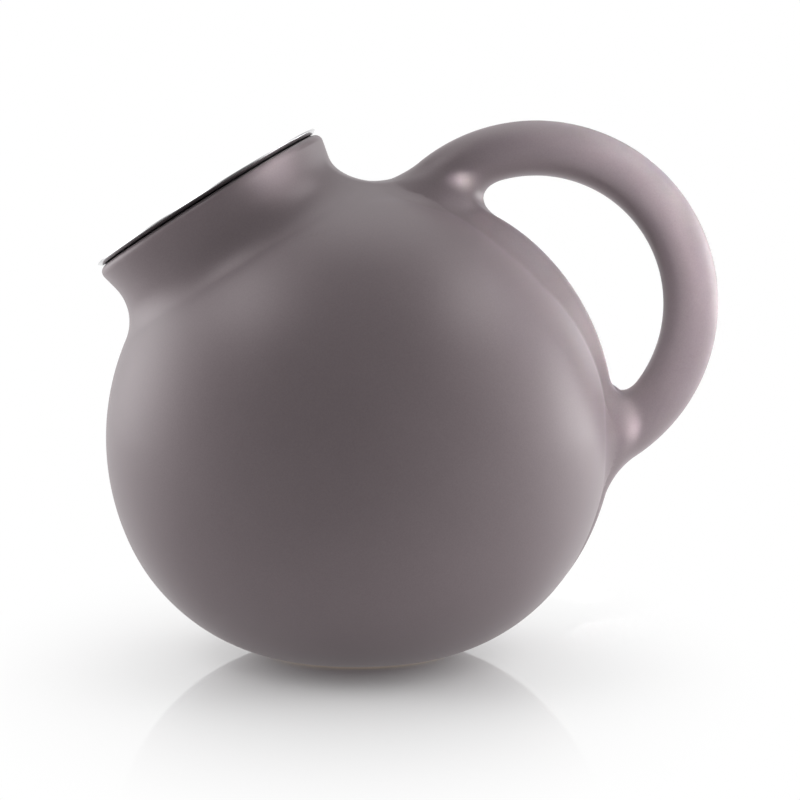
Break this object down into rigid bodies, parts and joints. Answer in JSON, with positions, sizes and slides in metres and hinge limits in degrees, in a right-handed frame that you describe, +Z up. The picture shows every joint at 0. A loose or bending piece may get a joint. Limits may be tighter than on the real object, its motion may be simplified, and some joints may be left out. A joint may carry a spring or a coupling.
{
  "type": "milk jug",
  "caption": "Round stoneware milk jug with a leaning neck, a loop handle and a lift-out steel pouring insert whose hinged flap swings open as the jug is tilted.",
  "frame": {"origin": "middle of the flat foot, under the globe's centre", "axes": "+X towards the handle, the neck leans towards -X, +Z up; the middle plane is Y = 0"},
  "size_m": [0.1726, 0.14, 0.1487],
  "materials": {
    "glazed_stoneware": "silky mauve-grey satin glaze",
    "polished_steel": "fine polished stainless steel",
    "hinge_steel": "satin stainless steel",
    "black_silicone": "matt black silicone"
  },
  "bodies": {
    "jug": {"jug_body": "glazed_stoneware", "handle": "glazed_stoneware"},
    "pour_insert": {"pouring_rim": "polished_steel", "seal_sleeve": "black_silicone", "flap_seat": "black_silicone", "hinge_bracket": "hinge_steel", "hinge_pin": "hinge_steel"},
    "flap": {"pour_flap": "polished_steel", "flap_strap": "hinge_steel"}
  },
  "joints": [
    {"name": "insert_lift", "type": "slide", "parent": "jug", "child": "pour_insert", "axis": [-0.5299, 0, 0.848], "range_m": [0, 0.035]},
    {"name": "flap_tilt", "type": "hinge", "parent": "pour_insert", "child": "flap", "pos_m": [-0.01644, 0, 0.13146], "axis": [0, 1, 0], "range_deg": [0, 70]}
  ]
}
